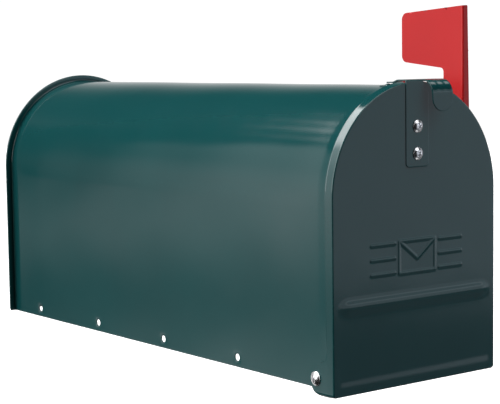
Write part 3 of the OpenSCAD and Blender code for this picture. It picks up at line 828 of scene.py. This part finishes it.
def make_floor():
    xs = {-FLOOR_HALF + 2.0, FLOOR_HALF - 2.0}
    for centre in RIBS:
        xs |= set(np.round(np.linspace(centre - 7, centre + 7, 13), 3))
    xs = sorted(xs | set(np.linspace(-76, 76, 5)))
    first, last = RIB_MID - RIB_HALF, RIB_MID + RIB_HALF
    ys = [SILL_FRONT + 2, SILL_FRONT + 8, SILL_FRONT + 16, *np.linspace(SEAT_FRONT - 2, SEAT_FRONT + 2, 5)]
    for end in (first, last):
        ys += list(np.linspace(end - 8, end + 8, 13))
    ys = sorted([*ys, *np.linspace(first + 20, last - 20, 12), FLOOR_BACK - 12, FLOOR_BACK - 2])
    r, drop = 1.6, 7.5
    turn = [(r * math.sin(a), r * (1 - math.cos(a))) for a in np.linspace(0, math.pi / 2, 6)[1:]]

    def edged(values, low, high):
        """(place, drop) pairs along one direction, with both edges turned down."""
        before = [(low + r - o, d) for o, d in reversed(turn)]
        after = [(high - r + o, d) for o, d in turn]
        return ([(low, drop + SHEET)] + before + [(v, 0.0) for v in values] + after + [(high, drop + SHEET)])

    across = edged(xs, -FLOOR_HALF, FLOOR_HALF)
    lengthwise = edged(ys, SILL_FRONT, FLOOR_BACK - 0.1)
    skin = Skin()
    rows = [[(x, y, float(floor_height(x, y)) - max(dx, dy)) for x, dx in across] for y, dy in lengthwise]

    def left_out(i, j):
        side = max(across[j][1], across[j + 1][1]) > 0
        end = max(lengthwise[i][1], lengthwise[i + 1][1]) > 0
        return side and (end or lengthwise[i][0] < SEAT_FRONT)

    skin.rows(rows, skip=left_out)
    skin.flip()
    return piece("floor_pressed", skin, "body", GREEN, ["floor_panel"],
                 thick=SHEET, bevel=0.2)


def make_floor_tabs():
    """Tabs of the floor that lock in the slits of the body's sides."""
    skin = Skin()
    for side in (-1, 1):
        outline = rounded_polygon([(FLOOR_HALF - 6, SLIT_Y - 2, 0), (BODY_R + 0.6, SLIT_Y - 2, 0.5),
                                   (BODY_R + 0.6, SLIT_Y + 2, 0.5), (FLOOR_HALF - 6, SLIT_Y + 2, 0)], 2.0)
        top = [(side * x, y, SHEET + SILL_RISE) for x, y in outline]
        ids = skin.add(top)
        skin.faces.append(tuple(ids) if side > 0 else tuple(reversed(ids)))
    return piece("floor_tabs", skin, "body", GREEN, thick=SHEET, bevel=0.15)


# ---- latch -----------------------------------------------------------------------------------

LATCH_T = 1.0
LATCH_TOP = LATCH_HI.z - LATCH_T
BEND_R = 1.6
STRAP_L, STRAP_R, NECK_R = -12.0, 12.0, 6.3
STRAP_BOTTOM = LATCH_LO.z
PULL_L, PULL_R = 6.9, LATCH_HI.x
PULL_BEND, PULL_DEPTH = 12.6, 11.8
PULL_WAVE, PULL_WAVE_LEN = 0.22, 7.3
PULL_DROP = 25.0
PLATE_BACK, TONGUE_BACK = 12.0, 22.0
TONGUE_DROP = 1.8
NECK_CUT = 7.5
DIMPLE, DIMPLE_R, DIMPLE_DEPTH = (-3.0, FACE_Y + 18), 4.6, 1.6
PULL_START = 0.6
SEAM_X = 6.6


def top_place(s):
    """(y, z) on the latch's top, which slopes down behind the door's edge."""
    return FACE_Y - LATCH_T + BEND_R + s, LATCH_TOP + LATCH_T - TONGUE_DROP * float(smooth((s - 7.5) / 7))


def strap_place(s):
    """(y, z) along the strap's outer side: 0 where the flat top begins, rearwards positive."""
    bend = BEND_R * math.pi / 2
    if s >= 0:
        return top_place(s)
    if s >= -bend:
        a = -s / BEND_R
        return (FACE_Y - LATCH_T + BEND_R * (1 - math.sin(a)),
                LATCH_TOP + LATCH_T - BEND_R * (1 - math.cos(a)))
    return FACE_Y - LATCH_T, LATCH_TOP + LATCH_T - BEND_R + (s + bend)


def pull_place(x, s):
    """(y, z) on the finger pull's outer side, from the same start as the strap; its bend is
    slightly taller than deep and a little uneven."""
    bend = PULL_BEND * math.pi / 2
    if s >= 0:
        return top_place(s)
    a = min(-s, bend) / PULL_BEND
    swing = PULL_WAVE * math.sin(TAU * (x - PULL_L) / PULL_WAVE_LEN) * math.sin(2 * a) ** 2
    y = FACE_Y + PULL_START - (PULL_DEPTH - swing) * math.sin(a)
    z = LATCH_TOP + LATCH_T - (PULL_BEND - swing) * (1 - math.cos(a))
    return y, z + min(0.0, s + bend)


def strap_s(z):
    """Place along the strap of a height on the door's face."""
    return z - (LATCH_TOP + LATCH_T - BEND_R) - BEND_R * math.pi / 2


def make_latch():
    bottom, cut = strap_s(STRAP_BOTTOM), strap_s(LATCH_TOP - NECK_CUT)
    step, slit_end, slit_r = 1.5, 0.2, PULL_L - SEAM_X
    seam_start, quarter = slit_end + slit_r, math.pi / 2
    left_end, right_end = (circle(SEAM_X, slit_end, slit_r, 4, a, -quarter) for a in (2 * quarter, quarter))
    seam = along((SEAM_X, seam_start), (SEAM_X, PLATE_BACK), step) + [(SEAM_X, PLATE_BACK)]
    # up the strap's right side, along the seam with the pull, and round the catch tongue
    outline = rounded_polygon([(STRAP_L, bottom, 3.5), (STRAP_R, bottom, 3.5), (STRAP_R, cut, 3.0),
                               (NECK_R, cut, 1.0), *[(x, s, 0) for x, s in left_end],
                               (SEAM_X, PLATE_BACK, 0), (NECK_R, PLATE_BACK + 1.0, 0),
                               (NECK_R, TONGUE_BACK, 2.5), (STRAP_L, TONGUE_BACK, 2.5)], step)
    holes = [circle(0, strap_s(z), 2.1, 24) for z in SCREW_Z]
    inner = grid(STRAP_L, STRAP_R, bottom, -4, 1.2, 1.2) + grid(STRAP_L, SEAM_X, -4, 2, 1.2, 0.4)
    inner += grid(STRAP_L, SEAM_X, 2, TONGUE_BACK, 0.9, 0.9)
    # none on the seam, which both sides share
    inner = [p for p in inner if p[1] < cut or p[0] < NECK_R - 0.1]
    flat, tris = fill(outline, inner, holes, gap=0.35)

    def strap_points(u, v):
        found = []
        for x, s in zip(u, v):
            y, z = strap_place(s)
            out = math.dist((x, y), DIMPLE) / DIMPLE_R
            dent = DIMPLE_DEPTH * float(swell(out)) if s > 0 else 0
            found.append((x, y, z - dent))
        return found

    skin = Skin()
    add_fill(skin, flat, tris, strap_points)
    tip = -(PULL_BEND * math.pi / 2 + PULL_DROP - PULL_BEND)
    r = (PULL_R - PULL_L) / 2
    middle = (PULL_R + PULL_L) / 2
    pull = along((PULL_L, slit_end), (PULL_L, tip + r), 1.2)
    pull += circle(middle, tip + r, r, 26, math.pi, math.pi)
    pull += along((PULL_R, tip + r), (PULL_R, PLATE_BACK - 2.5), 1.2)[1:]
    pull += circle(PULL_R - 2.5, PLATE_BACK - 2.5, 2.5, 6, 0, math.pi / 2)
    pull += along((PULL_R - 2.5, PLATE_BACK), (SEAM_X, PLATE_BACK), 1.2)[1:]
    pull += list(reversed(seam)) + right_end[1:-1]
    inner = grid(PULL_L, PULL_R, tip, PLATE_BACK, 1.1, 0.8)
    flat, tris = fill(pull, inner, gap=0.35)
    add_fill(skin, flat, tris, lambda u, v: [(x, *pull_place(x, s)) for x, s in zip(u, v)])
    made = piece("latch_strap", skin, "door", GREEN, ["door_latch"], thick=LATCH_T,
                 bevel=0.22, even=False)
    made.visible_glossy = False  # keeps the pull's dark mirror image off the strap, as in the photograph
    return made


# ---- flag ------------------------------------------------------------------------------------

FLAG_T = 1.0
FLAG_X = PIVOT.x - FLAG_T / 2
FLAG_FRONT = FLAG_LO.y + 3.65
ARM_W, PANEL_W, PANEL_H, PANEL_H_REAR, TOP_SLOPE = 22.7, 73.0, 52.0, 41.5, 5.0
FLAG_TOP = FLAG_HI.z
FLAG_BEND = 1.6
FOLD_LOW, FOLD_W, FOLD_W_TOP = PIVOT.z + 18, 8.5, 5.3
HUB_R = 15.0
STOP_ARM, STOP_R, STOP_TURN = 12.5, 2.2, math.radians(200)


def fold_edge(z):
    """Unrolled place of the fold's free edge at height z."""
    w = FOLD_W + (FOLD_W_TOP - FOLD_W) * (z - FOLD_LOW) / (FLAG_TOP - FOLD_LOW)
    return 2 * FLAG_BEND - FLAG_BEND * math.pi / 2 - w


def flag_place(u, z):
    """Point on the flag's left and front side; u runs rearwards from the front edge."""
    bend = FLAG_BEND * math.pi / 2
    flat = (FLAG_X, FLAG_FRONT + u)
    if u >= FLAG_BEND:
        folded = flat
    elif u >= FLAG_BEND - bend:
        a = (FLAG_BEND - u) / FLAG_BEND
        folded = (FLAG_X + FLAG_BEND * (1 - math.cos(a)), FLAG_FRONT + FLAG_BEND * (1 - math.sin(a)))
    else:
        folded = (FLAG_X + FLAG_BEND + (FLAG_BEND - bend - u), FLAG_FRONT)
    t = float(smooth((z - FOLD_LOW + 7) / 7))
    return (flat[0] + (folded[0] - flat[0]) * t, flat[1] + (folded[1] - flat[1]) * t, z)


def stop_notch(centre):
    """Part of the hub's outline that dips in to clear the stop pin: a quarter turn plus the pin."""
    half = math.asin(STOP_R / STOP_ARM) + math.radians(1.5)
    first, last = STOP_TURN - half, STOP_TURN + math.pi / 2 + half
    deep = STOP_ARM - STOP_R - 0.3
    found = [(centre + HUB_R * math.cos(first), PIVOT.z + HUB_R * math.sin(first))]
    found += circle(centre, PIVOT.z, deep, 24, first, last - first)
    found += [(centre + HUB_R * math.cos(last), PIVOT.z + HUB_R * math.sin(last))]
    return found, first, last


def make_flag():
    centre = PIVOT.y - FLAG_FRONT
    notch, first, last = stop_notch(centre)
    lean = math.asin(centre / HUB_R)
    start_a = math.pi / 2 + lean
    left = circle(centre, PIVOT.z, HUB_R, 10, start_a, first - start_a)
    right_a = math.pi / 2 - math.asin((ARM_W - centre) / HUB_R)
    right = circle(centre, PIVOT.z, HUB_R, 22, last - TAU, right_a - last + TAU)
    arm_top, rear_top = FLAG_TOP - PANEL_H, FLAG_TOP - TOP_SLOPE
    panel = rounded_polygon([(ARM_W, PIVOT.z + 14, 0), (ARM_W, arm_top, 3.5),
                             (PANEL_W, rear_top - PANEL_H_REAR, 6), (PANEL_W, rear_top, 6),
                             (fold_edge(FLAG_TOP), FLAG_TOP - 0.1, 1.2),
                             (fold_edge(FOLD_LOW), FOLD_LOW + 3, 2.5),
                             (0.0, FOLD_LOW - 1.0, 1.5), (0.0, PIVOT.z + 12, 0)], 2.5)
    low = [p for p in panel if p[1] > PIVOT.z + 13.5]
    outline = left + notch[1:-1] + right + low
    bore = circle(centre, PIVOT.z, 4.05, 32)
    inner = grid(-6, PANEL_W, PIVOT.z - 15, FLAG_TOP, 4, 4)
    inner = [p for p in inner if p[0] > 4]
    inner += grid(-9, 4, PIVOT.z + 10, FLAG_TOP, 0.55, 3.0)
    flat, tris = fill(outline, inner, [bore], gap=0.5)
    skin = Skin()
    add_fill(skin, flat, tris, lambda u, v: [flag_place(a, b) for a, b in zip(u, v)])
    skin.flip()
    return piece("flag_plate", skin, "flag", RED, ["flag"],
                 thick=FLAG_T, bevel=0.2, even=False)


# ---- screws ----------------------------------------------------------------------------------


def screw_skin(skin, head_r, head_h, shank_r, length, place):
    """Pan-head screw along +Z, bearing face at 0: domed head with a cross recess, rolled thread."""
    n = 72
    turns = np.arange(n) * TAU / n
    rows = []
    dome_r = head_r * 1.35

    def dome(r):
        return head_h - dome_r + math.sqrt(dome_r ** 2 - r ** 2)

    def circle_row(r, z):
        return [(r * math.cos(a), r * math.sin(a), z) for a in turns]

    for r in np.linspace(0.0, 0.62 * head_r, 16):
        row = []
        for a in turns:
            x, y = r * math.cos(a), r * math.sin(a)
            slot = min(abs(x), abs(y))
            arm = float(smooth((head_r * 0.14 - slot) / (head_r * 0.07)))
            reach = float(smooth((head_r * 0.52 - r) / (head_r * 0.1)))
            row.append((x, y, dome(r) - 0.55 * head_h * arm * reach))
        rows.append(row)
    edge = 0.35
    for r in np.linspace(0.68 * head_r, head_r - edge, 5):
        rows.append(circle_row(r, dome(r)))
    z_edge = dome(head_r - edge)
    for t in np.linspace(0, math.pi / 2, 5)[1:]:
        r = head_r - edge + edge * math.sin(t)
        rows.append(circle_row(r, z_edge - edge * (1 - math.cos(t))))
    for r, z in ((head_r, 0.15), (head_r - 0.15, 0.0), (shank_r + 0.1, 0.0)):
        rows.append(circle_row(r, z))
    pitch, depth = 0.8, 0.32
    for z in np.arange(-0.3, -length + 0.4, -pitch / 6):
        row = []
        for a in turns:
            cut = 0.5 + 0.5 * math.cos(TAU * z / pitch + a)
            lead = float(smooth((z + length) / 1.2))
            r = shank_r - depth * cut - 0.5 * (1 - lead)
            row.append((r * math.cos(a), r * math.sin(a), z))
        rows.append(row)
    rows.append(circle_row(shank_r - 0.9, -length))
    rows.append([(0.0, 0.0, -length)] * n)
    ids = [skin.add([place(Vector(p)) for p in row]) for row in rows]
    for a, b in zip(ids, ids[1:]):
        skin.strip(a, b, closed=True)


def facing(direction, origin, roll=0.0):
    """Placement that turns +Z to a direction, with the recess rolled about it."""
    turn = Vector(direction).to_track_quat("Z", "Y").to_matrix() @ Matrix.Rotation(roll, 3, "Z")
    return lambda p: turn @ p + Vector(origin)


def make_screws():
    big, small = (5.6, 2.8, 2.5), (5.0, 2.6, 2.0)
    skin = Skin()
    for side, roll in ((-1, 0.35), (1, 1.1)):
        seat = (side * (DOOR_R + 0.1), HINGE.y, HINGE.z)
        screw_skin(skin, *big, 11.7, facing((side, 0, 0), seat, roll))
    piece("hinge_screw_pair", skin, "body", ZINC, ["hinge_screws"])
    skin = Skin()
    for z, roll in zip(SCREW_Z, (0.25, 0.85)):
        screw_skin(skin, *small, 6.8, facing((0, -1, 0), (0, FACE_Y - LATCH_T, z), roll))
    piece("latch_screw_pair", skin, "door", ZINC, ["latch_screws"])
    skin = Skin()
    lo, hi = box_mm("flag_screw")
    seat = hi.x - big[1]
    screw_skin(skin, *big, seat - lo.x, facing((1, 0, 0), (seat, PIVOT.y, PIVOT.z), 0.6))
    piece("flag_screw_turned", skin, "body", ZINC, ["flag_screw"])


# ---- carried-over CAD nodes ------------------------------------------------------------------


def dress(node, material, width):
    """Gives a CAD node its material, welded corners and softened edges."""
    obj = frame["nodes"][node]
    obj.data.materials.clear()
    obj.data.materials.append(material)
    weld = obj.modifiers.new("weld", "WELD")
    weld.merge_threshold = 1e-6
    bevel = obj.modifiers.new("edges", "BEVEL")
    bevel.width, bevel.segments, bevel.limit_method = width * MM, 2, "ANGLE"
    bevel.angle_limit = math.radians(40)
    tidy = obj.modifiers.new("normals", "WEIGHTED_NORMAL")
    tidy.keep_sharp = True


def dress_cad_nodes():
    for node in ("roof_catch", "roof_catch_rivets"):
        dress(node, GREEN, 0.2)
    for node in ("hinge_bushes", "flag_bush"):
        dress(node, NYLON, 0.25)
    for node in ("hinge_washers", "hinge_nuts", "flag_washer", "flag_spring_washer", "flag_inner_washer",
                 "flag_nut", "flag_stop_pin", "latch_lock_washers", "latch_nuts"):
        dress(node, ZINC, 0.15)


# ---- studio ----------------------------------------------------------------------------------

GROUND_Z = -2.2


def make_floor_plane():
    """Plain pale studio floor, a post's height below the mailbox."""
    mesh = bpy.data.meshes.new("studio_floor")
    bm = bmesh.new()
    bmesh.ops.create_circle(bm, cap_ends=True, segments=96, radius=40)
    bm.to_mesh(mesh)
    bm.free()
    obj = bpy.data.objects.new("studio_floor", mesh)
    obj.location.z = GROUND_Z
    bpy.context.scene.collection.objects.link(obj)
    s = Shader("studio_floor")
    s.link(s.mix(s.noise(0.6, 2.0), (0.86, 0.86, 0.86), (0.9, 0.9, 0.9)), s.surface.inputs["Base Color"])
    s.set(Roughness=0.9, Emission_Color=(1, 1, 1, 1), Emission_Strength=0.5)
    obj.data.materials.append(s.material)
    obj.visible_diffuse = obj.visible_glossy = False


def direction(azimuth, elevation):
    """Unit vector; azimuth is from +Y towards +X, in degrees."""
    a, e = math.radians(azimuth), math.radians(elevation)
    return Vector((math.sin(a) * math.cos(e), math.cos(a) * math.cos(e), math.sin(e)))


# What surrounds the set, by azimuth and elevation in degrees: from, to, from, to, soft edges, level
NEUTRAL, COOL = (1.0, 1.0, 1.0), (0.93, 0.99, 1.1)
PANELS = [
    (-17, 95, -90, 18.5, 3, 14, 0.66, NEUTRAL),      # white sweep behind
    (-97, -35.8, -8, 38, 8.5, 3, 1.5, NEUTRAL),      # wall of light on the left
    (-97, -28.2, 26, 38, 2, 14, 1.5, NEUTRAL),       # and its wider upper part
    (-84, -24, 35.5, 66, 3, 4.5, 7.5, NEUTRAL),      # softbox above it, whose lower edge climbs
    (-24, -16, 38.5, 66, 3, 3, 7.5, NEUTRAL),
    (-16, -8, 41.5, 66, 3, 3, 7.5, NEUTRAL),
    (-8, 3, 44, 66, 3, 3, 7.5, NEUTRAL),
    (-35, 15, -8, -5, 3, 1.5, 0.33, NEUTRAL),        # light table edge, far
    (-62, -31.5, -20.5, -12, 14, 4.5, 1.5, NEUTRAL), # light table, near
    (95, 178, -9.5, 16, 5, 1.2, 0.8, COOL),          # wall on the right, past the camera
    (110, 178, 13, 25, 5, 3, 0.7, COOL),             # and its lit upper edge
    (110, 178, -45, -10, 5, 1.5, 0.2, COOL),         # the floor before it
    (100, 180, -90, -54, 5, 4, 1.1, NEUTRAL),        # and below the set
    (76, 104, 44, 58, 3, 3, 2.2, NEUTRAL),           # softbox over the right side
    (140, 180, 35, 66, 8, 5, 1.2, COOL),             # bounce in front
    (-181, 181, 74, 91, 1, 5, 1.2, NEUTRAL),         # ceiling
]
AMBIENT = 0.01


def make_world():
    """White studio: what surrounds the set as seen in the paint, and plain white behind the object."""
    world = bpy.data.worlds.new("studio")
    bpy.context.scene.world = world
    world.use_nodes = True
    tree = world.node_tree
    tree.nodes.clear()
    node, link = tree.nodes.new, tree.links.new

    def calc(kind, *values):
        made = node("ShaderNodeMath")
        made.operation = kind
        for socket, value in zip(made.inputs, values):
            if isinstance(value, (int, float)):
                socket.default_value = value
            else:
                link(value, socket)
        return made.outputs[0]

    def edge(value, at, soft, rising):
        made = node("ShaderNodeMapRange")
        made.interpolation_type = "SMOOTHSTEP"
        ends = (at - soft, at + soft, 1 - rising, rising)
        for key, v in zip(("From Min", "From Max", "To Min", "To Max"), ends):
            made.inputs[key].default_value = v
        link(value, made.inputs["Value"])
        return made.outputs["Result"]

    split = node("ShaderNodeSeparateXYZ")
    link(node("ShaderNodeTexCoord").outputs["Generated"], split.inputs[0])
    azimuth = calc("DEGREES", calc("ARCTAN2", split.outputs["X"], split.outputs["Y"]))
    elevation = calc("DEGREES", calc("ARCSINE", split.outputs["Z"]))
    total = None
    for az0, az1, el0, el1, soft_az, soft_el, level, tint in PANELS:
        across = calc("MULTIPLY", edge(azimuth, az0, soft_az, 1), edge(azimuth, az1, soft_az, 0))
        upward = calc("MULTIPLY", edge(elevation, el0, soft_el, 1), edge(elevation, el1, soft_el, 0))
        lit = calc("MULTIPLY", calc("MULTIPLY", across, upward), level)
        made = node("ShaderNodeVectorMath")
        made.operation = "MULTIPLY_ADD"
        link(lit, made.inputs[0])
        made.inputs[1].default_value = tint
        if total is None:
            made.inputs[2].default_value = (AMBIENT,) * 3
        else:
            link(total, made.inputs[2])
        total = made.outputs[0]
    shown = node("ShaderNodeMix")
    shown.data_type = "RGBA"
    link(node("ShaderNodeLightPath").outputs["Is Camera Ray"], shown.inputs["Factor"])
    link(total, shown.inputs["A"])
    shown.inputs["B"].default_value = (1.05, 1.05, 1.05, 1)
    background = node("ShaderNodeBackground")
    link(shown.outputs["Result"], background.inputs["Color"])
    out = node("ShaderNodeOutputWorld")
    link(background.outputs[0], out.inputs["Surface"])


def area_light(name, azimuth, elevation, distance, size, power, target=(0, 0, 0.1)):
    light = bpy.data.lights.new(name, "AREA")
    light.shape, light.size, light.energy = "SQUARE", size, power
    obj = bpy.data.objects.new(name, light)
    obj.location = Vector(target) + direction(azimuth, elevation) * distance
    obj.rotation_mode = "QUATERNION"
    obj.rotation_quaternion = (obj.location - Vector(target)).to_track_quat("Z", "Y")
    bpy.context.scene.collection.objects.link(obj)
    return obj


def make_lights():
    area_light("left_key", -74, 18, 0.95, 0.6, 3.0, target=(-0.08, -0.22, 0.15))
    area_light("right_rim", 80, 40, 1.2, 0.7, 16.0).visible_glossy = False
    area_light("front_fill", 165, 50, 1.4, 0.9, 3.5)


def make_camera():
    """Camera at the viewing angle of a product shot: low, from the front left, with a long lens."""
    yaw, pitch, roll = math.radians(37.581), math.radians(5.633), math.radians(-0.807)
    forward = Vector((math.sin(yaw) * math.cos(pitch), math.cos(yaw) * math.cos(pitch), -math.sin(pitch)))
    right = Vector((math.cos(yaw), -math.sin(yaw), 0))
    up = right.cross(forward)
    x = right * math.cos(roll) + up * math.sin(roll)
    y = up * math.cos(roll) - right * math.sin(roll)
    data = bpy.data.cameras.new("camera")
    data.lens, data.sensor_width = 107.77, 36
    cam = bpy.data.objects.new("camera", data)
    cam.matrix_world = Matrix((x, y, -forward)).transposed().to_4x4()
    cam.location = (-0.80987, -1.12383, 0.23444)
    bpy.context.scene.collection.objects.link(cam)
    bpy.context.scene.camera = cam


def main():
    make_body()
    make_skirt_hems()
    make_rear()
    make_floor()
    make_floor_tabs()
    make_door()
    make_latch()
    make_flag()
    make_screws()
    dress_cad_nodes()
    make_floor_plane()
    make_world()
    make_lights()
    make_camera()
    bpy.context.scene.view_settings.view_transform = "Standard"


main()
